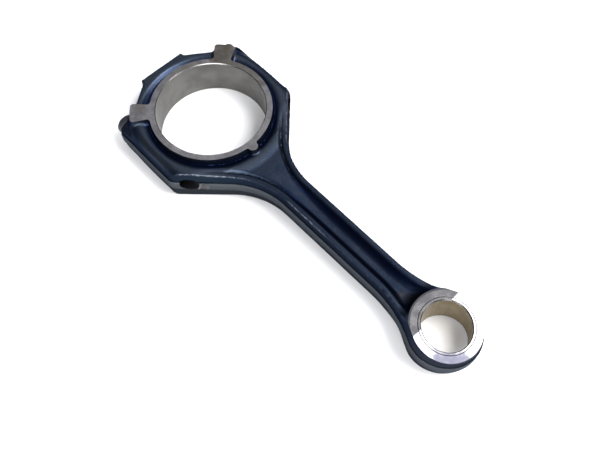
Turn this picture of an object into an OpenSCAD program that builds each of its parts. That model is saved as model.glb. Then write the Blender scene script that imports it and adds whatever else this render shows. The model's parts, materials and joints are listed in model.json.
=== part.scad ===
// Connecting rod of a small four-cylinder petrol engine, as an assembly:
// forged rod, fracture-split bearing cap, two cap bolts and a pressed small-end bush.
// Origin: centre of the crankpin bore, halfway through the rod's thickness.
// +X runs up the rod to the small end, +Z is the axis of both bores.

/* [Overall] */
// Distance between the axes of the two bores
centre_distance = 144; // [130:1:180]

/* [Big end] */
// Diameter of the crankpin housing bore
housing_bore_d = 50.6; // [44:0.1:53]
// Radial width of the machined thrust ring around that bore
thrust_ring_w = 2.9; // [1.5:0.1:3.5]
// Thickness of the big end over its two thrust faces
big_end_t = 19; // [17:0.5:26]
// Chamfer on both edges of the housing bore
housing_chamfer = 0.6; // [0.2:0.1:1.2]
// Height of the thrust face above the crest of the forging around it
thrust_step = 2.4; // [1:0.1:3]
// Distance over which the forging's crest slopes down to its outer edge
crest_slope_w = 9; // [6:0.5:14]
// Drop from that crest to the outer edge
crest_drop = 1.6; // [0.5:0.1:2.5]
// Radius of the groove rolled around the thrust ring
ring_groove_r = 2.4; // [1:0.1:3]
// Die draft on the two long sides
side_draft = 6; // [2:0.5:9]
// Rod-side length of the straight sides, from the split to the shoulder
side_len = 14; // [8:0.5:20]
// Slope of the shoulder against the rod's axis
shoulder_angle = 44.6; // [38:0.1:52]
// Concave radius from shoulder to shank
shoulder_fillet_r = 35; // [20:1:50]
// Half width of the small rounded lug on the thrust ring
lug_r = 2.3; // [1:0.1:3]

/* [Bearing cap] */
// Metal from the thrust ring to the face of the balance pad on the crown
crown_wall = 9.3; // [7:0.1:12]
// Width of the balance pad
crown_pad_w = 24.6; // [14:0.2:30]
// Height of the balance pad above the crown
crown_pad_h = 2; // [0.5:0.1:3]
// Lean of the balance pad's two ends, across the rod
crown_pad_lean = 0.5; // [0:0.1:1.5]
// Distance from the split to the faces that the bolt heads seat on
bolt_seat_x = 24; // [20:0.5:28]
// Rounding of the cap's outer corners
cap_corner_r = 2.5; // [1:0.1:4]

/* [Locating tabs] */
// Bearing of the tab's edge nearer the split, from the +X axis
tab_from = 120; // [117:0.5:123]
// Bearing of the tab's edge nearer the crown, from the +X axis
tab_to = 137.5; // [133:0.5:141]
// Radial length of the tab outside the thrust ring
tab_len = 9.2; // [7:0.1:10]
// Rounding of the tab's two outer corners
tab_corner_r = 1.6; // [0.5:0.1:2.5]

/* [Bolts] */
// Metal between the housing bore and each bolt
bolt_web = 1.2; // [0.8:0.1:3]
// Metal outside each bolt, to the side of the big end
boss_wall = 2.1; // [1.2:0.1:4]
// Nominal diameter of the bolt and its thread
bolt_d = 8; // [6:0.1:9]
// Length under the head
bolt_len = 36; // [32:0.5:38]
// Diameter of the waisted part of the shank
bolt_waist_d = 7; // [5.2:0.1:7.6]
// Diameter of the head
head_d = 9.6; // [9:0.1:11]
// Height of the head
head_h = 3.4; // [3:0.1:6]
// Chamfer around the top of the head
head_chamfer = 0.9; // [0.4:0.1:1.2]
// Width across flats of the hexagon socket
socket_af = 5; // [3:0.1:6]
// Depth of the hexagon socket
socket_depth = 2.2; // [1.5:0.1:2.8]
// Length of thread that is tapped beyond the bolt's tip
thread_run_out = 2; // [1:0.5:4]
// Diameter of the core hole that runs on through the shoulder
core_hole_d = 6.8; // [5:0.1:7.6]

/* [Shank] */
// Width of the I-section
shank_w = 14.6; // [11:0.2:18]
// Thickness over the flanges of the I-section
shank_t = 12; // [9:0.5:15]
// Thickness of the web
web_t = 4.4; // [3:0.1:7]
// Width of each flange beside the channel
flange_w = 2.2; // [1.4:0.1:3.5]
// How far the channel's sides turn with the shoulder at its big-end mouth
channel_flare = 33; // [20:1:36]
// Concave radius from shank to small end
eye_fillet_r = 55; // [30:1:70]

/* [Small end] */
// Outer diameter of the small end
eye_d = 32; // [30:0.2:38]
// Thickness of the small end at its widest
small_end_t = 17.8; // [15:0.2:22]
// Die draft around the small end
eye_draft = 5; // [1:0.5:7]
// How far before the pin's axis the tapered flanks start
taper_start = 6; // [2:0.5:10]
// Slope of each tapered flank
taper_angle = 10.3; // [6:0.1:11]
// Bore of the bush, for the piston pin
pin_d = 21; // [18:0.1:23]
// Wall thickness of the bush
bush_wall = 1.2; // [0.8:0.1:2]

/* [Clearances] */
// Radial gap between bolt and cap
bolt_clearance = 0.10; // [0.05:0.01:0.1]
// Radial gap between bolt and tapped hole, which stands for the meshed thread
thread_clearance = 0.05; // [0.02:0.01:0.1]
// Radial gap between bolt head and spot face
spot_face_gap = 0.6; // [0.3:0.1:1]

/* [Hidden] */
$fn = 96;
bore_r = housing_bore_d / 2;
ring_r = bore_r + thrust_ring_w;
half_t = big_end_t / 2;
crest_z = half_t - thrust_step;
groove_x = ring_r + ring_groove_r;
groove_z = crest_z + ring_groove_r / 4;
crest_r = groove_x + sqrt(pow(ring_groove_r, 2) - pow(groove_z - crest_z, 2));
rim_r = crest_r + crest_slope_w;
rim_z = crest_z - crest_drop;
crown_reach = ring_r + crown_wall;
bolt_r = bolt_d / 2;
bolt_y = bore_r + bolt_web + bolt_r;
side_y = bolt_y + bolt_r + boss_wall;
tapped_len = bolt_len - bolt_seat_x + thread_run_out;
crown_foot_y = bolt_y - bolt_r / 2;
shank_y = shank_w / 2;
eye_r = eye_d / 2;
bush_r = pin_d / 2 + bush_wall;
shoulder_foot_x = side_len + (side_y - shank_y) / tan(shoulder_angle);
shoulder_arc_x = shoulder_foot_x + shoulder_fillet_r * tan(shoulder_angle / 2);
eye_arc_x = centre_distance
    - sqrt(pow(eye_r + eye_fillet_r, 2) - pow(shank_y + eye_fillet_r, 2));
eye_arc_end = atan2(-(shank_y + eye_fillet_r), centre_distance - eye_arc_x);
tip_x = centre_distance + eye_r;
waist_blend = 1;
arc_steps = 10;
cut = 1;

// Points along an arc, the angles in degrees
function arc(x, y, r, from, to, n = arc_steps) =
    [for (i = [0:n]) let (a = from + (to - from) * i / n) [x + r * cos(a), y + r * sin(a)]];

// The same outline on the other side of the rod's axis, run backwards
function other_side(points) =
    [for (i = [len(points) - 1:-1:0]) [points[i].x, -points[i].y]];

// One side of the rod's outline, from the split to the small end
function rod_side() = concat(
    [[0, side_y], [side_len, side_y]],
    arc(shoulder_arc_x, shank_y + shoulder_fillet_r, shoulder_fillet_r, 270 - shoulder_angle, 270),
    arc(eye_arc_x, shank_y + eye_fillet_r, eye_fillet_r, -90, eye_arc_end));

// One side of the cap's outline, from the crown to the split
function cap_side() = concat(
    [[-crown_reach, 0], [-crown_reach, crown_pad_w / 2]],
    [[-crown_reach + crown_pad_h, crown_pad_w / 2 + crown_pad_lean]],
    [[-bolt_seat_x, crown_foot_y]],
    arc(-bolt_seat_x + cap_corner_r, side_y - cap_corner_r, cap_corner_r, 180, 90),
    [[0, side_y]]);

// Both halves of the big end inside the die's draft on the long sides
module drafted_sides() {
    inset = half_t * tan(side_draft);
    rotate([90, 0, 90])
        translate([0, 0, -crown_reach - cut])
            linear_extrude(crown_reach + tip_x + 2 * cut)
                polygon([
                    [-side_y, 0], [-side_y + inset, -half_t], [side_y - inset, -half_t],
                    [side_y, 0], [side_y - inset, half_t], [-side_y + inset, half_t]]);
}

// Forged crest around the thrust ring, sloping down to the outer edge
module big_end_crest() {
    rotate_extrude()
        polygon([
            [bore_r - cut, -crest_z], [crest_r, -crest_z], [rim_r, -rim_z], [rim_r * 2, -rim_z],
            [rim_r * 2, rim_z], [rim_r, rim_z], [crest_r, crest_z], [bore_r - cut, crest_z]]);
}

// Groove at the foot of the thrust ring, on both faces
module ring_grooves() {
    for (s = [-1, 1])
        rotate_extrude()
            translate([groove_x, s * groove_z])
                circle(ring_groove_r);
}

// Full-height ring whose two ends are the thrust faces
module thrust_ring() {
    cylinder(h = big_end_t, r = ring_r, center = true);
}

// Housing bore with its edge chamfers
module housing_bore() {
    mouth = bore_r + housing_chamfer;
    rotate_extrude()
        polygon([
            [0, -half_t - cut], [mouth, -half_t - cut], [mouth, -half_t],
            [bore_r, -half_t + housing_chamfer], [bore_r, half_t - housing_chamfer],
            [mouth, half_t], [mouth, half_t + cut], [0, half_t + cut]]);
}

// Cylinder along the X axis at one bolt's place
module bolt_bar(y, r, from, to) {
    translate([from, y, 0])
        rotate([0, 90, 0])
            cylinder(h = to - from, r = r);
}

// Round boss of the small end, drafted from its widest at mid-thickness
module eye() {
    half_small = small_end_t / 2;
    face_r = eye_r - half_small * tan(eye_draft);
    translate([centre_distance, 0, 0])
        rotate_extrude()
            polygon([
                [0, -half_small], [face_r, -half_small], [eye_r, 0],
                [face_r, half_small], [0, half_small]]);
}

// Solid keystone between the tapered flanks of the small end
module keystone() {
    start_x = centre_distance - taper_start;
    half_small = small_end_t / 2;
    end_x = tip_x + cut;
    end_z = half_small - (end_x - start_x) * tan(taper_angle);
    rotate([90, 0, 0])
        linear_extrude(2 * (eye_r + cut), center = true)
            polygon([
                [start_x - 2 * eye_r, -half_small], [start_x, -half_small], [end_x, -end_z],
                [end_x, end_z], [start_x, half_small], [start_x - 2 * eye_r, half_small]]);
}

// One side of the channel, flared with the shoulder and straight beside the shank
function channel_side() =
    let (side = shank_y - flange_w, flare = shoulder_fillet_r + flange_w)
    concat(
        arc(shoulder_arc_x, side + flare, flare, 270 - channel_flare, 270),
        [[centre_distance, side]]);

// Channel in the upper face of the shank, ending on arcs about the two bores
module channel() {
    outline = channel_side();
    difference() {
        translate([0, 0, web_t / 2])
            linear_extrude(half_t)
                polygon(concat(outline, other_side(outline)));
        cylinder(h = big_end_t, r = rim_r);
        translate([centre_distance, 0, 0])
            cylinder(h = big_end_t, r = eye_r + flange_w);
    }
}

// Forged rod: upper half of the big end, I-section shank and small end
module rod_body() {
    outline = rod_side();
    color("midnightblue")
        difference() {
            union() {
                intersection() {
                    linear_extrude(big_end_t, center = true)
                        polygon(concat(outline, other_side(outline)));
                    drafted_sides();
                    union() {
                        difference() {
                            big_end_crest();
                            ring_grooves();
                        }
                        translate([crest_r, -side_y, -shank_t / 2])
                            cube([centre_distance - crest_r, 2 * side_y, shank_t]);
                    }
                }
                thrust_ring();
                translate([ring_r + lug_r / 4, 0, 0])
                    cylinder(h = big_end_t, r = lug_r, center = true);
                intersection() {
                    eye();
                    keystone();
                }
            }
            translate([-2 * crown_reach, -2 * side_y, -big_end_t])
                cube([2 * crown_reach, 4 * side_y, 2 * big_end_t]);
            housing_bore();
            channel();
            mirror([0, 0, 1])
                channel();
            translate([centre_distance, 0, 0])
                cylinder(h = small_end_t + 2 * cut, r = bush_r, center = true);
            for (y = [-bolt_y, bolt_y]) {
                bolt_bar(y, bolt_r + thread_clearance, -cut, tapped_len);
                bolt_bar(y, core_hole_d / 2, 0, side_y);
            }
        }
}

// Machined tab beside one bolt boss, level with the thrust faces
module tab() {
    root_r = ring_r - thrust_ring_w / 2;
    end_r = ring_r + tab_len;
    corner_at = end_r - tab_corner_r;
    corner_turn = asin(tab_corner_r / corner_at);
    from = tab_from + corner_turn;
    to = tab_to - corner_turn;
    linear_extrude(big_end_t, center = true)
        polygon(concat(
            arc(0, 0, root_r, tab_to, tab_from),
            arc(corner_at * cos(from), corner_at * sin(from), tab_corner_r, tab_from - 90, from, 4),
            arc(0, 0, end_r, from, to, 4),
            arc(corner_at * cos(to), corner_at * sin(to), tab_corner_r, to, tab_to + 90, 4)));
}

// Bearing cap: the other half of the big end, with the bolt seats
module bearing_cap() {
    outline = cap_side();
    color("midnightblue")
        difference() {
            union() {
                intersection() {
                    linear_extrude(big_end_t, center = true)
                        polygon(concat(outline, other_side(outline)));
                    drafted_sides();
                    difference() {
                        big_end_crest();
                        ring_grooves();
                    }
                }
                thrust_ring();
                tab();
                mirror([0, 1, 0])
                    tab();
            }
            translate([0, -2 * side_y, -big_end_t])
                cube([2 * crown_reach, 4 * side_y, 2 * big_end_t]);
            housing_bore();
            for (y = [-bolt_y, bolt_y]) {
                bolt_bar(y, bolt_r + bolt_clearance, -bolt_seat_x - cut, cut);
                bolt_bar(y, head_d / 2 + spot_face_gap, -2 * crown_reach, -bolt_seat_x);
            }
        }
}

// Cap bolt: waisted shank, threaded end and a low head with a hexagon socket
module cap_bolt(y) {
    head_r = head_d / 2;
    waist_r = bolt_waist_d / 2;
    shoulder_len = bolt_d / 2;
    waist_end = bolt_seat_x - shoulder_len;
    tip_chamfer = bolt_d / 8;
    color("dimgray")
        translate([-bolt_seat_x, y, 0])
            rotate([0, 90, 0])
                difference() {
                    rotate_extrude()
                        polygon([
                            [0, -head_h], [head_r - head_chamfer, -head_h],
                            [head_r, -head_h + head_chamfer], [head_r, 0],
                            [bolt_r, 0], [bolt_r, shoulder_len], [waist_r, shoulder_len + waist_blend],
                            [waist_r, waist_end - waist_blend], [bolt_r, waist_end],
                            [bolt_r, bolt_len - tip_chamfer], [bolt_r - tip_chamfer, bolt_len],
                            [0, bolt_len]]);
                    translate([0, 0, -head_h - cut])
                        cylinder(h = socket_depth + cut, d = socket_af / cos(30), $fn = 6);
                }
}

module cap_bolt_left() {
    cap_bolt(bolt_y);
}

module cap_bolt_right() {
    cap_bolt(-bolt_y);
}

// Bronze bush for the piston pin, trimmed to the same tapered flanks
module small_end_bush() {
    half_small = small_end_t / 2;
    pin_r = pin_d / 2;
    color("darkgoldenrod")
        difference() {
            intersection() {
                translate([centre_distance, 0, 0])
                    cylinder(h = small_end_t, r = bush_r, center = true);
                keystone();
            }
            translate([centre_distance, 0, 0])
                cylinder(h = small_end_t + 2 * cut, r = pin_r, center = true);
        }
}

rod_body();
bearing_cap();
cap_bolt_left();
cap_bolt_right();
small_end_bush();
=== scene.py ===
# %% [markdown]
# # A forged connecting rod, made the way the factory makes it
# A connecting rod starts as a hot forging with soft, rounded shapes, and then a machine shop cuts
# flat faces, round bores and bolt holes into it. This lesson follows the same order. First comes a
# smooth raw forging, then the cuts, then the bolts and the bush, then the finishes, the floor, the
# light and the camera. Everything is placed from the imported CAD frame, in metres.

# %% Load the frame and keep its box
import json
import math

import bmesh
import bpy
import numpy as np
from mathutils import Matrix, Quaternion, Vector


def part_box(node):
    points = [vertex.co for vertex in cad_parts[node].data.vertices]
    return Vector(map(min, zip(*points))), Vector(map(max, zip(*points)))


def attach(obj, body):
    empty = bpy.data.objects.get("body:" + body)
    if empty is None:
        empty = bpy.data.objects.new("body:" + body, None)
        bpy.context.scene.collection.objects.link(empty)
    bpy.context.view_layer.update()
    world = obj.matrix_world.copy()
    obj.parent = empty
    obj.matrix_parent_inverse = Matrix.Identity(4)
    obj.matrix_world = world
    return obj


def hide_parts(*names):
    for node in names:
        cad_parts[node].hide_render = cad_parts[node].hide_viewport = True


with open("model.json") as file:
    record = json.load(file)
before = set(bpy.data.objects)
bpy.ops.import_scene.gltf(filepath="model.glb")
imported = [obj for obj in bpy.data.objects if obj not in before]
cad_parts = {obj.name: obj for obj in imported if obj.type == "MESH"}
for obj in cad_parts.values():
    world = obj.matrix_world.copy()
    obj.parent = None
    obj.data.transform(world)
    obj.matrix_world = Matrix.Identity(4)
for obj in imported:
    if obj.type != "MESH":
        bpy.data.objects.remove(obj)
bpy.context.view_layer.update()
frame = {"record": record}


# %% [markdown]
# ## Sizes
# The CAD nodes and the record's mounts say how big things are, so the drawing's main sizes are
# read from them. Sizes that only the forging has, such as the depth of a groove, are named here.
# The shapes are worked out in millimetres, because a maker thinks in them, and the last step of
# each mesh turns them into metres.

# %% Main sizes, read from the frame
MM = 0.001


def box_mm(node):
    low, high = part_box(node)
    return np.array(low) / MM, np.array(high) / MM


rod_high = box_mm("rod_body")[1]
cap_low = box_mm("bearing_cap")[0]
bush_low, bush_high = box_mm("small_end_bush")
bolt_low, bolt_high = box_mm("cap_bolt_left")
mounts = {m["name"]: m for m in frame["record"]["mounts"]}
print("mounts", {n: m.get("kind") for n, m in mounts.items()})

HALF_T = rod_high[2]                      # half the big end's thickness
SIDE_Y = rod_high[1]                      # half the big end's width, at the parting line
CROWN_X = -cap_low[0]                     # from the bore's centre to the crown
BUSH_R = (bush_high[1] - bush_low[1]) / 2
EYE_X = (bush_high[0] + bush_low[0]) / 2  # centre of the small end
EYE_R = rod_high[0] - EYE_X
SMALL_HALF_T = bush_high[2]
BOLT_Y = (bolt_low[1] + bolt_high[1]) / 2
HEAD_R = (bolt_high[1] - bolt_low[1]) / 2
BOLT_TIP_X = bolt_high[0]
HEAD_TOP_X = bolt_low[0]
print(f"big end {2 * SIDE_Y:.1f} wide, {2 * HALF_T:.1f} thick; eye at {EYE_X:.1f}, radius {EYE_R:.1f}")
print(f"bolts at {BOLT_Y:.2f}, heads {2 * HEAD_R:.1f} across, from {HEAD_TOP_X:.1f} to {BOLT_TIP_X:.1f}")
BORE_R = mounts["big_end_bore"]["dims"]["r_mm"]
PIN_R = mounts["small_end_bore"]["dims"]["r_mm"]

# %% Sizes of the forging and of the machining that follows it
RING_W = 2.9              # width of the thrust ring
SIDE_LEN = 14.0           # where the straight side turns into the shoulder
SHOULDER = math.radians(44.6)
SHOULDER_ROUND = 35.0     # the sweep from shoulder to shank
EYE_ROUND = 55.0          # the sweep from shank to eye
SHANK_Y = 7.6             # half the shank's width at the parting line
FLANGE_Z = 6.0            # half the shank's thickness
WEB_Z = 2.2               # half the web's thickness
SEAT_X = -24.0            # the faces under the bolt heads
PAD_HALF = 12.4           # half the crown pad's width
PAD_STEP = 2.0            # how far the pad stands proud of its ledges
SPLIT_FOOT_Y = 28.5       # where the crown's slanted flank meets the bolt seat
TAB_FROM, TAB_TO = math.radians(120), math.radians(137.5)
TAB_REACH = 9.2           # how far a tab reaches beyond the thrust ring
LUG_R = 2.3
LAND_TOP, LAND_LOW = 1.5, -3.4   # the trimmed land along the parting line
LAND_PROUD = 0.42         # how far the land stands out of the drafted wall
CREST_R, CREST_Z = 32.9, 7.25    # the rolled crest round the big end
CROWN_Z, CROWN_RISE = 4.2, 1.35  # the lower face of the crown, and its step up outwards
RAMP_Z, RAMP_FROM, RAMP_SLOPE = 6.35, 37.5, 0.118  # the floor that falls into the shank's channel
RIM_DEEPER = 1.9          # how much deeper the lower rim reaches than the upper one
SPARE = 0.9               # raw metal left for the machine shop to face off
BOLT_R = 4.0
CORE_R = 3.4              # the core hole beyond the tapped one
TAPPED_TO, CORE_FROM = 13.0, 14.5
NICK_R, NICK_X, NICK_Y, NICK_Z = 2.5, 22.5, 27.1, -1.3   # the spot-faced nick by each shoulder hole
RING_R = BORE_R + RING_W
print(f"ring radius {RING_R:.1f}, bore {BORE_R:.1f}, pin bore {PIN_R:.1f}")


# %% [markdown]
# ## The forging as a rule for space
# A forging has no sharp corners inside it: every valley is a fillet and every edge is rounded. It
# could be a box model with many bevels, or a sculpt, but the fillets here run into one another in
# all directions. So the shape is written as a rule instead: a function that says, for any point,
# about how far outside the metal it is, and is negative inside. Two shapes join with a soft
# minimum, which leaves a fillet, and cut each other with a soft maximum, which leaves a rounded
# edge. The mesh comes afterwards, where the rule is zero.

# %% Soft joins and the rod's outline
def soft_max(a, b, width):
    h = np.maximum(width - np.abs(a - b), 0) / width
    return np.maximum(a, b) + h * h * width / 4


def soft_min(a, b, width):
    return -soft_max(-a, -b, width)


def ease(t):
    t = np.clip(t, 0, 1)
    return t * t * (3 - 2 * t)


SHOULDER_C = np.array([
    SIDE_LEN + (SIDE_Y - SHANK_Y) / math.tan(SHOULDER) + SHOULDER_ROUND * math.tan(SHOULDER / 2),
    SHANK_Y + SHOULDER_ROUND])
EYE_C = np.array([
    EYE_X - math.sqrt((EYE_R + EYE_ROUND) ** 2 - (SHANK_Y + EYE_ROUND) ** 2),
    SHANK_Y + EYE_ROUND])


def outline(x, y):
    """Distance outside the plan outline at the parting line, for y from the axis outwards."""
    side = y - SIDE_Y
    sin_a, cos_a = math.sin(SHOULDER), math.cos(SHOULDER)
    flank = (x - SIDE_LEN) * sin_a + side * cos_a
    rod_end = soft_max(side, flank, 1.6)
    qx, qy = x - SHOULDER_C[0], y - SHOULDER_C[1]
    sweep = SHOULDER_ROUND - np.hypot(qx, qy)
    past_flank = qx * cos_a - qy * sin_a > 0
    rod = np.where(past_flank, sweep, rod_end)
    rod = np.where(qx > 0, y - SHANK_Y, rod)
    ex, ey = x - EYE_C[0], y - EYE_C[1]
    beside_eye = (EYE_X - EYE_C[0]) * ey + EYE_C[1] * ex < 0
    rod = np.where(ex > 0, EYE_ROUND - np.hypot(ex, ey), rod)
    rod = np.where((ex > 0) & ~beside_eye, np.hypot(x - EYE_X, y) - EYE_R, rod)
    slope = math.atan2(CROWN_X - PAD_STEP + SEAT_X, SPLIT_FOOT_Y - PAD_HALF)
    slant = -(x - SEAT_X) * math.cos(slope) + (y - SPLIT_FOOT_Y) * math.sin(slope)
    ledge = -(CROWN_X - PAD_STEP) - x
    pad = soft_max(-CROWN_X - x, y - PAD_HALF, 0.5)
    crown = soft_min(np.maximum(slant, ledge), pad, 0.5)
    crown = np.minimum(crown, SEAT_X - 0.6 - x)
    cap = soft_max(crown, side, 4.0)
    return np.where(x < 0, cap, rod)


print("shoulder sweep about", SHOULDER_C.round(1), "eye sweep about", EYE_C.round(1))


# %% [markdown]
# ## The relief and the walls
# The upper face of the raw forging is a landscape: a rolled crest round the big end, a hollow
# between crest and thrust ring, a floor that falls into the shank's channel, and a flange on each
# side of that channel. It could be sculpted, but as a height above the middle plane it stays
# measurable. The side walls lean in because a die has to let the forging go, and a trimmed land
# runs round them where the flash was cut off. The lower rim reaches a little deeper.

# %% The relief of the upper face
def relief(x, y):
    """Height of the forged face above the middle plane, before ring, tabs and eye are added."""
    r = np.hypot(x, y)
    inward = -outline(x, y)
    turn = x / np.maximum(r, 1)
    to_shank = ease((turn - 0.66) / 0.30)
    crest_r = CREST_R + 0.5 * to_shank
    below = np.clip((crest_r - r) / (crest_r - RING_R), 0, 1.3)
    dip = (1.6 + 0.9 * to_shank) * below ** (1.8 - 0.3 * to_shank)
    drop = (0.2 + 0.8 * to_shank) * ease((r - crest_r - 0.3) / 4.0)
    roll = 0.080 * soft_max(r - crest_r, 0 * r, 1.0) ** 2 * (1 - to_shank)
    crest = CREST_Z - dip - drop - np.minimum(roll, 2.2)
    ramp = soft_max(RAMP_Z - RAMP_SLOPE * (x - RAMP_FROM), WEB_Z + 0 * x, 2.0)
    beside = ease((5.4 - inward) / 3.4) * ease((x - 19) / 10) * (1 - ease((x - 56) / 16))
    floor = np.where(x > 30, soft_min(crest, ramp, 0.8), crest) - 2.3 * beside
    flange = FLANGE_Z + 0.95 * (1 - ease((x - 14) / 40)) - 2.6 * (1 - ease((x - 9) / 6))
    flange = flange - 0.03 * inward - 2.2 * soft_max(inward - 3.2, 0 * inward, 0.5)
    rod = soft_max(floor, flange, 1.0 + 3.2 * ease((x - 45) / 25))
    crown = CROWN_Z + CROWN_RISE * ease((r - 31.6) / 2.6) - 0.03 * np.maximum(r - 34, 0)
    around = ease((np.arctan2(y, x) - math.radians(117)) / math.radians(18))
    return np.where(x < 0, crest + (crown - crest) * around, rod)


# %% The whole raw forging
def wall_shape(x, z):
    """How far the side wall stands in from the parting outline at height z."""
    big = 1 - ease((x - 10) / 40)
    sides = ease((x + 28) / 5)
    draft = np.maximum(z, 0) * (0.03 + 0.045 * sides + 0.085 * big * sides) + np.maximum(-z, 0) * 0.03
    off_land = np.maximum(ease((z - LAND_TOP) / 0.35), ease((LAND_LOW - z) / 0.35))
    crease = np.exp(-((z - LAND_TOP - 0.3) / 0.22) ** 2) + np.exp(-((z - LAND_LOW + 0.3) / 0.22) ** 2)
    return draft + LAND_PROUD * (0.3 + 0.7 * sides) * off_land + 0.13 * crease


def lower_rim(x, y):
    """How much deeper the lower face reaches than the upper one, along its rim."""
    reach = RIM_DEEPER + 0.6 * (1 - ease((x - 10) / 40))
    along = ease((x + 24) / 6) * (1 - ease((x - 118) / 12))
    return reach * (1 - ease((-outline(x, y) - 3.0) / 2.5)) * along


def forging(x, y, z):
    """About how far outside the raw forging a point is, in millimetres."""
    y, up = np.abs(y), np.abs(z)
    r = np.hypot(x, y)
    wall = outline(x, y) + wall_shape(x, z)
    tops = up - relief(x, y) - (z < 0) * lower_rim(x, y)
    ring = soft_max(r - RING_R - 0.14 * (HALF_T - up), up - HALF_T - SPARE, 0.4)
    tops = soft_min(tops, ring, 0.9)
    lug = np.hypot(x - RING_R - LUG_R / 4, y) - LUG_R - 0.16 * (HALF_T - up)
    tops = soft_min(tops, soft_max(lug, up - HALF_T - SPARE, 0.4), 0.9)
    root = 0.4 * np.maximum(SMALL_HALF_T - up, 0) * (x < EYE_X)
    eye = np.hypot(x - EYE_X, y) - EYE_R + 0.03 * up - root
    tops = soft_min(tops, soft_max(eye, up - SMALL_HALF_T - 0.45, 0.6), 3.4)
    straight = 1 - ease((np.abs(x + 4) - 12) / 10)
    body = soft_max(wall, tops, 0.55 + 4.2 * straight * (z > 0))
    start = x * math.sin(TAB_FROM) - y * math.cos(TAB_FROM)
    stop = y * math.cos(TAB_TO) - x * math.sin(TAB_TO)
    tab = soft_max(soft_max(start, stop, 1.2), r - RING_R - TAB_REACH, 1.8)
    tab = soft_max(tab - 0.13 * (HALF_T - up) + 0.4, up - HALF_T - SPARE, 0.4)
    return soft_min(body, tab, 1.7)


# %% [markdown]
# ## From the rule to a mesh
# A grid of points samples the rule. Every grid cell that the surface passes through gets one
# vertex, and every grid edge that the surface crosses gets one face between its four cells. That
# is called surface nets, and it gives even quads without stray pieces. A few Newton steps then
# slide each vertex exactly onto the surface, which removes the stair steps of the grid.

# %% Surface nets
def grid_axis(low, high, step):
    count = int(round((high - low) / step))
    return low + np.arange(count + 1) * (high - low) / count


def along_axis(values, axis):
    return values.reshape([-1 if a == axis else 1 for a in range(3)])


def net_points(field, inside, axes):
    """One point in each cell that the surface passes through: the mean of its edge crossings."""
    shape = tuple(n - 1 for n in field.shape)
    total = np.zeros(shape + (3,))
    count = np.zeros(shape)
    for axis in range(3):
        others = [a for a in range(3) if a != axis]
        low, high = [slice(None)] * 3, [slice(None)] * 3
        low[axis], high[axis] = slice(0, -1), slice(1, None)
        f0, f1 = field[tuple(low)], field[tuple(high)]
        crossed = inside[tuple(low)] != inside[tuple(high)]
        share = np.where(crossed, f0 / np.where(crossed, f0 - f1, 1), 0)
        for shift in ((0, 0), (0, 1), (1, 0), (1, 1)):
            pick = [slice(None)] * 3
            for other, s in zip(others, shift):
                pick[other] = slice(s, s + shape[other])
            hit = crossed[tuple(pick)]
            count += hit
            where = [None, None, None]
            where[axis] = (along_axis(axes[axis][:-1], axis)
                           + share[tuple(pick)] * along_axis(np.diff(axes[axis]), axis))
            for other, s in zip(others, shift):
                where[other] = along_axis(axes[other][s:s + shape[other]], other)
            for a in range(3):
                total[..., a] += np.where(hit, where[a], 0)
    used = count > 0
    number = np.full(shape, -1, int)
    number[used] = np.arange(used.sum())
    return total[used] / count[used][:, None], number


def net_faces(inside, number):
    """One quad round each grid edge that the surface crosses, facing outwards."""
    faces = []
    for axis in range(3):
        u, v = [(1, 2), (2, 0), (0, 1)][axis]
        low, high = [slice(1, -1)] * 3, [slice(1, -1)] * 3
        low[axis], high[axis] = slice(0, -1), slice(1, None)
        a, b = inside[tuple(low)], inside[tuple(high)]
        at = np.argwhere(a != b)
        at[:, u] += 1
        at[:, v] += 1
        outward = a[a != b]
        corners = []
        for du, dv in ((-1, -1), (0, -1), (0, 0), (-1, 0)):
            cell = at.copy()
            cell[:, u] += du
            cell[:, v] += dv
            corners.append(number[cell[:, 0], cell[:, 1], cell[:, 2]])
        quad = np.stack(corners, 1)
        quad[~outward] = quad[~outward][:, ::-1]
        faces.append(quad)
    return np.concatenate(faces)


def surface_net(rule, xs, ys, zs):
    field = rule(xs[:, None, None], ys[None, :, None], zs[None, None, :])
    points, number = net_points(field, field < 0, (xs, ys, zs))
    return points, net_faces(field < 0, number)


def settle(rule, points, rounds=5, reach=0.25):
    """Newton steps that bring the points onto the surface."""
    h = 0.02
    for _ in range(rounds):
        here = rule(*points.T)
        slope = np.empty_like(points)
        for a in range(3):
            ahead, behind = points.copy(), points.copy()
            ahead[:, a] += h
            behind[:, a] -= h
            slope[:, a] = (rule(*ahead.T) - rule(*behind.T)) / (2 * h)
        length = np.maximum((slope ** 2).sum(1), 0.05)
        move = -here[:, None] * slope / length[:, None]
        size = np.maximum(np.linalg.norm(move, axis=1), 1e-9)
        points = points + move * np.minimum(1, reach / size)[:, None]
    return points, np.abs(here).max()


# %% The raw forging as a mesh
STEP = 0.55
raw_points, raw_faces = surface_net(
    forging,
    grid_axis(-CROWN_X - 1.2, rod_high[0] + 1.2, STEP),
    grid_axis(-SIDE_Y - 1.2, SIDE_Y + 1.2, STEP),
    grid_axis(-HALF_T - 1.8, HALF_T + 1.8, STEP * 0.72))
raw_points, left_over = settle(forging, raw_points)
print(f"raw forging: {len(raw_points)} points, {len(raw_faces)} faces, {left_over:.3f} mm left over")


# %% [markdown]
# ## Meshes, cutters and machining
# Cutting is done with Boolean modifiers, as a mill or a drill would take the metal away. Each
# cutter is a closed mesh that carries the finish it leaves behind, so a bored hole comes out with
# bored walls. The cutters never stay in the scene.

# %% Helpers for meshes and cuts
def make_object(name, points, faces, materials=()):
    mesh = bpy.data.meshes.new(name)
    mesh.from_pydata((np.asarray(points) * MM).tolist(), [], [list(map(int, f)) for f in faces])
    mesh.update()
    for material in materials:
        mesh.materials.append(material)
    obj = bpy.data.objects.new(name, mesh)
    bpy.context.scene.collection.objects.link(obj)
    return obj


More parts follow.
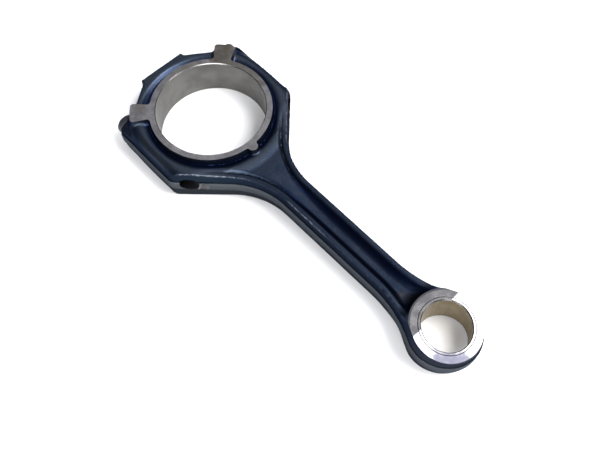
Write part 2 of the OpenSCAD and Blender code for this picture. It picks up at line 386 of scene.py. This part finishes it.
def turned(profile, segments, place=(0, 0, 0), axis="Z"):
    """Points and faces of a closed turned shape; the profile is (radius, along) from axis to axis."""
    points, faces, rings = [], [], []
    for radius, along in profile:
        if radius < 1e-6:
            rings.append([len(points)])
            points.append((0, 0, along))
        else:
            rings.append(list(range(len(points), len(points) + segments)))
            for i in range(segments):
                a = 2 * math.pi * i / segments
                points.append((radius * math.cos(a), radius * math.sin(a), along))
    for low, high in zip(rings, rings[1:]):
        for i in range(segments):
            j = (i + 1) % segments
            if len(low) == 1:
                faces.append((low[0], high[j], high[i]))
            elif len(high) == 1:
                faces.append((low[i], low[j], high[0]))
            else:
                faces.append((low[i], low[j], high[j], high[i]))
    points = np.array(points, float)
    if axis == "X":
        points = points[:, [2, 0, 1]]
    return points + np.array(place, float), faces


def prism(corners, low, high, axis="Z"):
    """A closed prism over a polygon given anticlockwise."""
    n = len(corners)
    points = [(a, b, low) for a, b in corners] + [(a, b, high) for a, b in corners]
    faces = [tuple(range(n - 1, -1, -1)), tuple(range(n, 2 * n))]
    faces += [(i, (i + 1) % n, n + (i + 1) % n, n + i) for i in range(n)]
    points = np.array(points, float)
    if axis == "Y":
        points = points[:, [0, 2, 1]]
        faces = [f[::-1] for f in faces]
    return points, faces


def block(low, high):
    return prism([(low[0], low[1]), (high[0], low[1]), (high[0], high[1]), (low[0], high[1])],
                 low[2], high[2])


def cut(obj, shape, material):
    """Takes a cutter's shape away from obj; the new faces get the cutter's material."""
    cutter = make_object("cutter", *shape, [material])
    change = obj.modifiers.new("cut", "BOOLEAN")
    change.operation = "DIFFERENCE"
    change.solver = "MANIFOLD"
    change.material_mode = "TRANSFER"
    change.object = cutter
    bpy.context.view_layer.update()
    seen = obj.evaluated_get(bpy.context.evaluated_depsgraph_get())
    cut_mesh = bpy.data.meshes.new_from_object(seen)
    obj.modifiers.clear()
    old = obj.data
    obj.data = cut_mesh
    cut_mesh.name = obj.name
    bpy.data.meshes.remove(old)
    bpy.data.objects.remove(cutter)


def shade(obj, degrees=38):
    for face in obj.data.polygons:
        face.use_smooth = True
    obj.data.set_sharp_from_angle(angle=math.radians(degrees))


def finish_chamfers(obj, material, bored):
    """Gives the slanted rims of a bored hole their own finish."""
    obj.data.materials.append(material)
    last = len(obj.data.materials) - 1
    for face in obj.data.polygons:
        if obj.data.materials[face.material_index] == bored and 0.3 < abs(face.normal.z) < 0.95:
            face.material_index = last


def open_edges(obj):
    work = bmesh.new()
    work.from_mesh(obj.data)
    bad = sum(1 for e in work.edges if not e.is_manifold)
    work.free()
    return bad


# %% [markdown]
# ## Finishes
# Each finish is a node material worked out from the place on the part, in millimetres, so no
# picture is wrapped round it and nothing has to be unwrapped. A mask is a sum of steps such as
# "above this height and near that edge", and long sums are hard to read as wires. The small class
# below wraps a socket, so that a sum written in Python adds the Math nodes by itself.

# %% A small class for shader sums
class Wire:
    """A socket's output that can be used in sums."""

    def __init__(self, finish, socket):
        self.finish = finish
        self.socket = socket

    def math(self, operation, first, second):
        return self.finish.node("ShaderNodeMath", {"operation": operation}, {0: first, 1: second})

    def __add__(self, other):
        return self.math("ADD", self, other)

    def __radd__(self, other):
        return self.math("ADD", other, self)

    def __sub__(self, other):
        return self.math("SUBTRACT", self, other)

    def __rsub__(self, other):
        return self.math("SUBTRACT", other, self)

    def __mul__(self, other):
        return self.math("MULTIPLY", self, other)

    def __rmul__(self, other):
        return self.math("MULTIPLY", other, self)

    def above(self, start, full):
        """0 below start, 1 above full, and a smooth step between them."""
        return self.finish.node("ShaderNodeMapRange", {"interpolation_type": "SMOOTHSTEP"},
                                {"Value": self, "From Min": start, "From Max": full})

    def size(self):
        return self.math("ABSOLUTE", self, 0)

    def most(self, other):
        return self.math("MAXIMUM", self, other)


class Nodes:
    """A node tree and the one method that adds nodes to it."""

    def __init__(self, owner):
        owner.use_nodes = True
        self.owner = owner
        self.tree = owner.node_tree
        self.tree.nodes.clear()

    def node(self, kind, settings, inputs, output=0):
        made = self.tree.nodes.new(kind)
        for key, value in settings.items():
            if key == "stops":
                ramp = made.color_ramp.elements
                while len(ramp) < len(value):
                    ramp.new(0.5)
                for element, (spot, colour) in zip(ramp, value):
                    element.position = spot
                    element.color = (*colour, 1)
            else:
                setattr(made, key, value)
        for key, value in inputs.items():
            self.feed(made.inputs[key], value)
        return made if output is None else Wire(self, made.outputs[output])

    def feed(self, socket, value):
        if isinstance(value, Wire):
            self.tree.links.new(value.socket, socket)
        elif socket.type == "RGBA":
            socket.default_value = (*value, 1)
        else:
            socket.default_value = value


class Finish(Nodes):
    """A material: a Principled surface, and the ways of varying it that this rod needs."""

    def __init__(self, name):
        super().__init__(bpy.data.materials.new(name))
        self.material = self.owner
        self.surface = self.node("ShaderNodeBsdfPrincipled", {}, {}, None)
        self.node("ShaderNodeOutputMaterial", {}, {"Surface": Wire(self, self.surface.outputs[0])}, None)
        where = self.node("ShaderNodeTexCoord", {}, {}, "Object")
        self.place = self.node("ShaderNodeVectorMath", {"operation": "SCALE"},
                               {0: where, "Scale": 1 / MM})

    def set(self, **values):
        for key, value in values.items():
            self.feed(self.surface.inputs[key.replace("_", " ").title().replace("Ior", "IOR")], value)

    def noise(self, scale, detail=3.0, rough=0.5, at=None):
        """Soft noise with about `scale` lumps to a millimetre, from 0 to 1."""
        return self.node("ShaderNodeTexNoise", {}, {
            "Vector": at or self.place, "Scale": scale, "Detail": detail, "Roughness": rough}, "Fac")

    def stretched(self, x, y, z, turn=0.0):
        return self.node("ShaderNodeMapping", {"vector_type": "TEXTURE"}, {
            "Vector": self.place, "Scale": (x, y, z), "Rotation": (0, 0, math.radians(turn))})

    def blend(self, share, first, second):
        return self.node("ShaderNodeMix", {"data_type": "RGBA"}, {0: share, 6: first, 7: second}, 2)

    def part(self, letter):
        return self.node("ShaderNodeSeparateXYZ", {}, {0: self.place}, letter)

    def painted(self, name):
        """A value that the mesh carries at each vertex."""
        return self.node("ShaderNodeAttribute", {"attribute_name": name}, {}, "Fac")

    def bump(self, height, distance, strength):
        return self.node("ShaderNodeBump", {}, {
            "Height": height, "Distance": distance * MM, "Strength": strength})


# %% [markdown]
# ## The coating of the raw forging
# The forged skin carries a thin blue-black coating that the machine shop cuts through. It could be
# a dark paint, but paint stays dark blue at every angle, and this skin glints like metal, so it is
# a nearly metallic surface with a dark tint. Painted shade darkens it beside the ring, in the channel
# and in the creases of the land, and a painted highlight lightens the crest. It is dull grey on the
# trimmed land and scuffed along the top edge. The masks for this use distances that are kept on the
# mesh after it has been machined.

# %% Blue-black coating over the raw forging
def coating():
    f = Finish("blue_black_coating")
    x, y, z = f.part("X"), f.part("Y"), f.part("Z")
    inset, below, gap = f.painted("inset"), f.painted("below"), f.painted("ring_gap")
    broad = f.noise(0.09, 2.0)
    fine = f.noise(1.5, 4.0, 0.6)
    grit = f.noise(4.0, 2.0, 0.5)
    patch = f.noise(0.35, 3.0, 0.6)
    wall = 1 - inset.above(-0.25, 0.25)
    edge = (1 - inset.size().above(0.12, 0.50)) * (1 - below.size().above(0.45, 1.0))
    # Painted shade: thin dark lines in the creases above and below the trimmed land.
    crease = (1 - (z - LAND_TOP - 0.25).size().above(0.10, 0.42)).most(
        1 - (z - LAND_LOW + 0.25).size().above(0.10, 0.42)) * wall
    land = wall * z.above(LAND_LOW - 0.3, LAND_LOW) * (1 - z.above(LAND_TOP, LAND_TOP + 0.3))
    under = wall * (1 - z.above(LAND_LOW - 0.3, LAND_LOW))
    crown = 1 - x.above(-27, -21)
    # Painted shade: the coating is made darker beside the thrust ring and in the crown's trough.
    ring_shade = (1 - gap.above(0.6, 4.6)).most((1 - gap.above(3.0, 4.4)) * crown) * below.above(-2.2, -0.2)
    # Painted shade: the hollow of the shank's channel is made darker too.
    hollow = inset.above(2.2, 2.8) * (1 - inset.above(4.4, 6.0)) * x.above(40, 60)
    # Painted highlight: the crest round the big end and the crown's outer rim are made lighter.
    on_crest = (1 - (gap - 4.8).size().above(0.8, 3.4)) * (1 - crown)
    crest_sheen = on_crest.most(crown * gap.above(4.4, 6.0) * 0.9)
    blue = f.blend(broad.above(0.3, 0.7), (0.012, 0.019, 0.037), (0.018, 0.026, 0.045))
    base = f.blend((patch.above(0.45, 0.75)) * 0.35, blue, (0.030, 0.037, 0.048))
    base = f.blend(fine.above(0.48, 0.68) * 0.40, base, (0.042, 0.048, 0.057))
    base = f.blend(crest_sheen * (0.35 + 0.5 * fine), base, (0.050, 0.062, 0.084))
    base = f.blend((ring_shade * 0.9).most(hollow * 0.75), base, (0.004, 0.009, 0.036))
    base = f.blend(wall * 0.80, base, (0.011, 0.018, 0.028))
    base = f.blend(wall * x.above(128, 142) * 0.65, base, (0.048, 0.050, 0.056))
    base = f.blend(land * 0.85, base, (0.085, 0.092, 0.098))
    base = f.blend(under * 0.75, base, (0.036, 0.040, 0.040))
    base = f.blend(crease * 0.9, base, (0.003, 0.005, 0.010))
    from_spot = (x - 122.5) * (x - 122.5) + (y + 2.0) * (y + 2.0)
    scorch = (1 - from_spot.above(3.0, 16.0)) * z.above(0.0, 1.0)
    base = f.blend(scorch * fine.above(0.42, 0.62) * 0.8, base, (0.030, 0.022, 0.016))
    near_bend = x.above(12, 17) * (1 - x.above(30, 44))
    mid_shank = x.above(56, 64) * (1 - x.above(74, 86))
    scuff = edge * near_bend.most(mid_shank).most(0.12) * f.noise(0.75, 4.0, 0.7).above(0.40, 0.66)
    base = f.blend(scuff * 0.70, base, (0.24, 0.26, 0.30))
    rough = 0.30 + 0.10 * fine + 0.10 * scorch + 0.12 * wall
    f.set(base_color=base, metallic=0.93, roughness=rough)
    f.set(specular_ior_level=0.3, specular_tint=(0.30, 0.32, 0.38))
    deep_grit = f.node("ShaderNodeMath", {"operation": "MULTIPLY"}, {0: x.above(70, 110), 1: grit})
    f.set(normal=f.bump(fine * 0.5 + grit * 0.3 + deep_grit * 0.6 + scorch * grit * 1.5, 0.035, 0.8))
    return f.material


# %% [markdown]
# ## Machined steel and bronze
# The faced, ground and bored surfaces are bare metal, and what tells them apart is the direction
# of their tool lines. Noise that is stretched a long way in one direction gives such lines without
# drawing any of them. The flat faces have straight lines, a bored wall has rings, and the split,
# drilled and phosphated surfaces are too rough or too dark to show a direction.

# %% Machined steel faces, bore and small end
def ground_steel(name, light, dark, lines_at, line_share, rough, stains=(), rim=None):
    """A flat cut face: fine straight tool lines, cloudy patches and a few stains.
    Each stain is (x, y, reach, share, colour); rim is the (x, radius) of a dull outer edge."""
    f = Finish(name)
    x, y = f.part("X"), f.part("Y")
    cloud = f.noise(0.22, 3.0, 0.6)
    lines = f.noise(1.0, 2.0, 0.7, f.stretched(14.0, 0.22, 14.0, lines_at))
    cross = f.noise(1.0, 2.0, 0.7, f.stretched(11.0, 0.3, 11.0, lines_at + 82))
    fleck = f.noise(2.2, 3.0, 0.6)
    base = f.blend(cloud.above(0.3, 0.7), dark, light)
    base = f.blend(lines.above(0.35, 0.75) * line_share, base, [0.6 * c for c in dark])
    base = f.blend(cross.above(0.5, 0.8) * line_share * 0.5, base, [0.7 * c for c in dark])
    for sx, sy, reach, share, colour in stains:
        away = (x - sx) * (x - sx) + (y - sy) * (y - sy)
        blot = 1 - (away + (cloud - 0.5) * reach * reach * 1.6).above(0.15 * reach ** 2, reach ** 2)
        base = f.blend(blot * share, base, colour)
    dull = 0.0
    if rim is not None:
        away = (x - rim[0]) * (x - rim[0]) + y * y
        dull = away.above((rim[1] - 0.15) ** 2, (rim[1] + 0.10) ** 2)
        base = f.blend(dull * 0.85, base, (0.030, 0.031, 0.036))
    f.set(base_color=base, metallic=0.92, roughness=rough + 0.12 * cloud + 0.10 * lines + 0.3 * dull)
    f.set(normal=f.bump(lines * 0.6 + cross * 0.2 + fleck * 0.2, 0.012, 0.7))
    return f.material


def bored_steel(name, light, dark, rough):
    """A bored and honed wall: fine rings round the bore and soft upright streaks."""
    f = Finish(name)
    cloud = f.noise(0.10, 2.0, 0.5)
    hone = f.noise(1.0, 2.0, 0.6, f.stretched(3.0, 3.0, 0.14))
    upright = f.noise(1.0, 2.0, 0.6, f.stretched(1.2, 1.2, 30.0))
    base = f.blend(cloud.above(0.3, 0.7), dark, light)
    base = f.blend(upright.above(0.45, 0.8) * 0.14, base, [0.78 * c for c in dark])
    f.set(base_color=base, metallic=0.9, roughness=rough + 0.10 * hone)
    f.set(normal=f.bump(hone, 0.008, 0.6))
    return f.material


def dark_steel(name, colour, rough, metallic=0.7):
    """Plain drilled or sawn metal that the light hardly reaches, and phosphated bolts."""
    f = Finish(name)
    speck = f.noise(2.4, 3.0, 0.6)
    cloud = f.noise(0.3, 2.0, 0.5)
    base = f.blend(speck.above(0.35, 0.7), [0.7 * c for c in colour], colour)
    base = f.blend(cloud.above(0.5, 0.8) * 0.4, base, [1.35 * c for c in colour])
    f.set(base_color=base, metallic=metallic, roughness=rough + 0.15 * speck)
    f.set(normal=f.bump(speck, 0.02, 0.5))
    return f.material


def bronze():
    f = Finish("bush_bronze_turned")
    cloud = f.noise(0.25, 3.0, 0.6)
    streak = f.noise(1.0, 2.0, 0.6, f.stretched(1.0, 1.0, 25.0))
    turned_rings = f.noise(1.0, 2.0, 0.6, f.stretched(4.0, 4.0, 0.18))
    base = f.blend(cloud.above(0.3, 0.7), (0.20, 0.155, 0.090), (0.27, 0.225, 0.145))
    base = f.blend(streak.above(0.45, 0.8) * 0.5, base, (0.13, 0.092, 0.048))
    f.set(base_color=base, metallic=0.75, roughness=0.36 + 0.15 * cloud)
    f.set(normal=f.bump(turned_rings, 0.01, 0.6))
    return f.material


# %% The rod's own finishes
COATING = coating()
RING_STAINS = (
    (-10, 29, 22, 0.62, (0.082, 0.072, 0.056)),
    (-23, 23.5, 9, 0.45, (0.060, 0.048, 0.034)),
    (-23, -22.5, 3.2, 0.30, (0.14, 0.10, 0.065)),
    (-27, 5, 10, 0.35, (0.12, 0.10, 0.08)))
RING_FACE = ground_steel("ring_face_ground", (0.215, 0.212, 0.224), (0.140, 0.137, 0.147),
                         -32, 0.40, 0.40, RING_STAINS)
EYE_STAINS = (
    (EYE_X + 8, -11, 6.5, 0.95, (0.030, 0.030, 0.042)),
    (EYE_X + 12.5, -7.5, 6.5, 0.95, (0.030, 0.030, 0.042)))
EYE_FACE = ground_steel("eye_face_ground", (0.20, 0.197, 0.206), (0.125, 0.123, 0.133),
                        24, 0.34, 0.13, EYE_STAINS, (EYE_X, EYE_R - 1.05))
BIG_BORE = bored_steel("big_bore_honed", (0.150, 0.148, 0.138), (0.105, 0.102, 0.098), 0.42)
BROKEN_EDGE = dark_steel("bore_broken_edge", (0.24, 0.236, 0.23), 0.18, 1.0)
# The drilled holes are painted almost black: painted shade for the inside of the holes.
DRILLED = dark_steel("drilled_hole", (0.006, 0.006, 0.008), 0.6)
SAWN = dark_steel("split_face", (0.16, 0.16, 0.165), 0.45)
BOLT_STEEL = dark_steel("bolt_black_steel", (0.046, 0.052, 0.064), 0.42)
BRONZE = bronze()
print("finishes", len(bpy.data.materials))


# %% [markdown]
# ## Machining the rod and the cap
# A fracture-split rod is forged in one piece, machined and then broken in two, so both halves come
# from the same raw mesh here. They could be modelled apart, but then the walls on both sides of the
# split would never quite meet. Each half is faced, split and bored, and then gets its own holes. The
# mouths of the bores are broken with cones that start outside the metal, because a cutter face that
# lies almost in the plane of the work makes a Boolean fail.

# %% Cutters that both halves share
FAR = 400.0
CHAMFER = 0.35


def face_cutters(x_from, x_to, z):
    return [block((x_from, -60, z), (x_to, 60, z + 20)), block((x_from, -60, -z - 20), (x_to, 60, -z))]


bore_cutter = turned([
    (0, -30), (BORE_R + CHAMFER + 1, -30), (BORE_R + CHAMFER + 1, -HALF_T - 1),
    (BORE_R, -HALF_T + CHAMFER), (BORE_R, HALF_T - CHAMFER), (BORE_R + CHAMFER + 1, HALF_T + 1),
    (BORE_R + CHAMFER + 1, 30), (0, 30)], 240)

TAPER_X = EYE_X - 6.0
TAPER = math.tan(math.radians(10.3))


def small_end_cutters():
    """Wedges that face off the small end: flat up to the taper, then sloping to the tip."""
    made = []
    end = EYE_X + EYE_R + 5
    for s in (1, -1):
        rim = [(EYE_X - 22, SMALL_HALF_T), (TAPER_X, SMALL_HALF_T),
               (end, SMALL_HALF_T - (end - TAPER_X) * TAPER), (end, 30), (EYE_X - 22, 30)]
        if s < 0:
            rim = [(x, -z) for x, z in rim][::-1]
        made.append(prism(rim, -30, 30, "Y"))
    return made


def rim_cutters(radius, width):
    """Cones that break the two mouths of a small-end bore, which lie on the tapered flanks."""
    made = []
    for s in (1, -1):
        points, faces = turned([(0, 1.2), (radius + width + 1, 1.2), (radius - 1, -(width + 1) * 1.2),
                                (0, -(width + 1) * 1.2)], 144)
        faces = [f[::-1] for f in faces]
        x = EYE_X + points[:, 0]
        level = SMALL_HALF_T - np.maximum(x - TAPER_X, 0) * TAPER
        made.append((np.stack([x, points[:, 1], s * (points[:, 2] + level)], 1),
                     faces if s > 0 else [f[::-1] for f in faces]))
    return made


# %% The rod, cut from the raw piece
def forging_piece(name):
    obj = make_object(name, raw_points, raw_faces, [COATING])
    for shape in face_cutters(-60, 60, HALF_T):
        cut(obj, shape, RING_FACE)
    return obj


rod = forging_piece("rod_forging")
cut(rod, block((-60, -60, -30), (0, 60, 30)), SAWN)
cut(rod, bore_cutter, BIG_BORE)
for shape in small_end_cutters():
    cut(rod, shape, EYE_FACE)
cut(rod, turned([(0, -30), (BUSH_R, -30), (BUSH_R, 30), (0, 30)], 144, (EYE_X, 0, 0)), DRILLED)
for shape in rim_cutters(BUSH_R, 0.32):
    cut(rod, shape, BROKEN_EDGE)
for s in (-1, 1):
    tapped = [(0, -1), (BOLT_R + 0.05, -1), (BOLT_R + 0.05, TAPPED_TO), (CORE_R, CORE_FROM),
              (CORE_R, 60), (0, 60)]
    cut(rod, turned(tapped, 48, (0, s * BOLT_Y, 0), "X"), DRILLED)
    nick = [(0, NICK_X), (NICK_R, NICK_X), (NICK_R, 60), (0, 60)]
    cut(rod, turned(nick, 32, (0, s * NICK_Y, NICK_Z), "X"), RING_FACE)
finish_chamfers(rod, BROKEN_EDGE, BIG_BORE)
shade(rod)
print("rod", len(rod.data.polygons), "faces, open edges", open_edges(rod))

# %% The cap
cap = forging_piece("cap_forging")
cut(cap, block((0, -60, -30), (FAR, 60, 30)), SAWN)
cut(cap, bore_cutter, BIG_BORE)
for s in (-1, 1):
    cut(cap, turned([(0, -40), (HEAD_R + 0.6, -40), (HEAD_R + 0.6, SEAT_X), (BOLT_R + 0.1, SEAT_X),
                     (BOLT_R + 0.1, 1), (0, 1)], 72, (0, s * BOLT_Y, 0), "X"), RING_FACE)
finish_chamfers(cap, BROKEN_EDGE, BIG_BORE)
shade(cap)
print("cap", len(cap.data.polygons), "faces, open edges", open_edges(cap))


# %% [markdown]
# ## Distances for the coating
# The coating's masks need to know how far a place is from the top edge, the top face and the ring.
# A node tree can't ask for that, but the rule that made the shape can, so the answers are worked
# out once for each vertex and kept on the mesh as attributes.

# %% Distances painted on the forgings for the coating to use
def paint(obj):
    """Keeps, at each vertex, how far it is from the top edge, from the top face and from the ring."""
    co = np.empty(len(obj.data.vertices) * 3)
    obj.data.vertices.foreach_get("co", co)
    x, y, z = co.reshape(-1, 3).T / MM
    y, up = np.abs(y), np.abs(z)
    top = relief(x, y)
    inset = -outline(x, y) - wall_shape(x, top)
    gap = np.hypot(x, y) - RING_R
    for name, values in (("inset", inset), ("below", top - up), ("ring_gap", gap)):
        layer = obj.data.attributes.new(name, "FLOAT", "POINT")
        layer.data.foreach_set("value", values.astype(np.float32))


paint(rod)
paint(cap)


# %% [markdown]
# ## Cap bolts
# Each bolt has a low round head with a hexagon socket, a stretched waist and a rolled M8 thread. A
# thread could be a bump, but it is in full view when the bolt is out, so it is a turned mesh whose
# rings are pushed in and out by a helix: twelve rings to each turn of the thread.

# %% Cap bolts with real threads
SOCKET_AF, SOCKET_DEEP = 5.0, 2.2
WAIST_R, THREAD_FROM, PITCH, TEETH = 3.5, -3.0, 1.0, 12


def bolt(name, y):
    head = [(0, HEAD_TOP_X), (HEAD_R - 1.15, HEAD_TOP_X), (HEAD_R - 0.85, HEAD_TOP_X + 0.12),
            (HEAD_R - 0.12, HEAD_TOP_X + 0.8), (HEAD_R, HEAD_TOP_X + 1.1), (HEAD_R, SEAT_X - 0.25),
            (HEAD_R - 0.25, SEAT_X), (BOLT_R, SEAT_X), (BOLT_R, SEAT_X + 4), (WAIST_R, SEAT_X + 5),
            (WAIST_R, THREAD_FROM - 1)]
    steps = int((BOLT_TIP_X - 1 - THREAD_FROM) / PITCH * TEETH)
    along = np.linspace(THREAD_FROM, BOLT_TIP_X - 1.0, steps + 1)
    profile = head + [(BOLT_R - 0.3, a) for a in along] + [(BOLT_R - 1.0, BOLT_TIP_X), (0, BOLT_TIP_X)]
    segments = 48
    points, faces = turned(profile, segments, (0, 0, 0), "X")
    first = 1 + segments * (len(head) - 1)
    count = segments * len(along)
    ring = points[first:first + count]
    angle = np.arctan2(ring[:, 2], ring[:, 1])
    phase = (ring[:, 0] / PITCH - angle / (2 * math.pi)) % 1
    tooth = np.clip(np.abs(phase - 0.5) * 2.6 - 0.15, 0, 1)
    fade = ease((ring[:, 0] - THREAD_FROM) / 1.2)
    run_out = 0.5 * (1 - ease((ring[:, 0] - THREAD_FROM + 0.8) / 0.9))
    radius = BOLT_R - 0.02 - 0.58 * tooth * fade - run_out
    radius = np.minimum(radius, BOLT_R - 1.0 + (BOLT_TIP_X - ring[:, 0]))
    ring[:, 1] = radius * np.cos(angle)
    ring[:, 2] = radius * np.sin(angle)
    points[first:first + count] = ring
    obj = make_object(name, points + np.array([0, y, 0]), faces, [BOLT_STEEL])
    hexagon = turned([(0, HEAD_TOP_X - 2), (SOCKET_AF / math.sqrt(3), HEAD_TOP_X - 2),
                      (SOCKET_AF / math.sqrt(3), HEAD_TOP_X + SOCKET_DEEP - 0.5),
                      (0, HEAD_TOP_X + SOCKET_DEEP)], 6, (0, y, 0), "X")
    cut(obj, hexagon, BOLT_STEEL)
    shade(obj, 34)
    return obj


bolts = {
    "left": bolt("cap_bolt_left_threaded", BOLT_Y),
    "right": bolt("cap_bolt_right_threaded", -BOLT_Y)}
for side, piece in bolts.items():
    print("bolt", side, len(piece.data.polygons), "faces, open edges", open_edges(piece))


# %% [markdown]
# ## The small-end bush
# A thin bronze tube is pressed into the small end and faced off with it, so its ends slope with the
# tapered flanks. The same wedges that face the rod therefore cut the bush, which keeps the two
# faces in one plane. The bore comes after them, and last of all its two mouths are broken.

# %% Bush
bush_solid = turned([(0, -SMALL_HALF_T - 1), (BUSH_R - 0.02, -SMALL_HALF_T - 1),
                     (BUSH_R - 0.02, SMALL_HALF_T + 1), (0, SMALL_HALF_T + 1)], 144, (EYE_X, 0, 0))
bush = make_object("small_end_bush_turned", *bush_solid, [BRONZE])
for shape in small_end_cutters():
    cut(bush, shape, EYE_FACE)
cut(bush, turned([(0, -30), (PIN_R, -30), (PIN_R, 30), (0, 30)], 144, (EYE_X, 0, 0)), BRONZE)
for shape in rim_cutters(PIN_R, 0.45):
    cut(bush, shape, BROKEN_EDGE)
shade(bush)
print("bush", len(bush.data.polygons), "faces, open edges", open_edges(bush))


# %% [markdown]
# ## Bodies
# Each mesh rides on the body that carries it and stands in for the CAD node of the same piece. The
# bush rides on the rod because it is a press fit, and each bolt has a body of its own.

# %% Put each piece on its body and hide the CAD node of the same piece
for piece, body, node, slot in (
        (rod, "rod", "rod_body", "forged_steel"),
        (cap, "cap", "bearing_cap", "forged_steel"),
        (bolts["left"], "bolt_left", "cap_bolt_left", "bolt_steel"),
        (bolts["right"], "bolt_right", "cap_bolt_right", "bolt_steel"),
        (bush, "rod", "small_end_bush", "bush_bronze")):
    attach(piece, body)
    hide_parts(node)


# %% [markdown]
# ## Floor, light and camera
# The rod lies on a plain white board under one soft window, with a weaker light low on the far
# side and a broad one at the front. The window is part of the surroundings, brightest in one
# direction, because bare and coated steel show whatever they face: a lamp alone would leave the
# flat faces black. The camera is given as a bearing, a height above the horizon and a small roll.

# %% Floor
floor_z = -HALF_T * MM
floor_mesh = bpy.data.meshes.new("floor")
work = bmesh.new()
bmesh.ops.create_grid(work, x_segments=2, y_segments=2, size=8)
work.to_mesh(floor_mesh)
work.free()
floor = bpy.data.objects.new("floor", floor_mesh)
floor.location = (0.07, 0, floor_z)
bpy.context.scene.collection.objects.link(floor)
white = Finish("floor_white_board")
mottle = white.noise(0.05, 3.0)
board = white.blend(mottle, (0.86, 0.86, 0.87), (0.89, 0.89, 0.90))
white.set(base_color=board, roughness=0.55 + 0.1 * mottle)
floor_mesh.materials.append(white.material)

# %% Light
sky = Nodes(bpy.data.worlds.new("studio"))
bpy.context.scene.world = sky.owner
around = sky.node("ShaderNodeTexCoord", {}, {}, "Generated")
WINDOW = Vector((-0.25, 0.36, 0.90))
facing = sky.node("ShaderNodeVectorMath", {"operation": "DOT_PRODUCT"}, {0: around, 1: WINDOW}, "Value")
ceiling = sky.node("ShaderNodeValToRGB", {"stops": [
    (0.0, (0.14, 0.145, 0.16)), (0.62, (0.15, 0.155, 0.17)), (0.80, (0.22, 0.225, 0.24)),
    (0.93, (0.62, 0.62, 0.64)), (1.0, (0.85, 0.85, 0.85))]}, {0: facing})
backdrop = sky.node("ShaderNodeBackground", {}, {"Color": ceiling, "Strength": 1.45})
sky.node("ShaderNodeOutputWorld", {}, {"Surface": backdrop}, None)


def lamp(name, direction, distance, size, watts):
    data = bpy.data.lights.new(name, "AREA")
    data.shape = "RECTANGLE"
    data.size = size
    data.size_y = size
    data.energy = watts
    obj = bpy.data.objects.new(name, data)
    aim = Vector(direction).normalized()
    obj.location = Vector((0.06, 0, 0)) + aim * distance
    obj.rotation_euler = aim.to_track_quat("Z", "Y").to_euler()
    bpy.context.scene.collection.objects.link(obj)


lamp("soft_box", (0.38, 0.37, 0.85), 1.3, 0.72, 25)
lamp("low_window", (0.86, 0.31, 0.33), 1.4, 0.6, 7)
lamp("fill_from_the_front", (0.55, -0.62, 0.56), 1.5, 1.1, 26)

# %% Camera
AIM = Vector((68.27, -8.66, 0.0)) * MM
DISTANCE = 337.3 * MM
BEARING, ABOVE, ROLL = (math.radians(a) for a in (-42.83, 62.61, -0.66))
toward = Vector((math.cos(ABOVE) * math.cos(BEARING), math.cos(ABOVE) * math.sin(BEARING),
                 math.sin(ABOVE)))
camera_data = bpy.data.cameras.new("camera")
camera_data.sensor_width = 36.0
camera_data.lens = 46.64
camera_data.clip_start = 0.01
camera = bpy.data.objects.new("camera", camera_data)
camera.location = AIM + toward * DISTANCE
camera.rotation_euler = (toward.to_track_quat("Z", "Y") @ Quaternion((0, 0, 1), ROLL)).to_euler()
bpy.context.scene.collection.objects.link(camera)
bpy.context.scene.camera = camera
bpy.context.scene.view_settings.view_transform = "Standard"
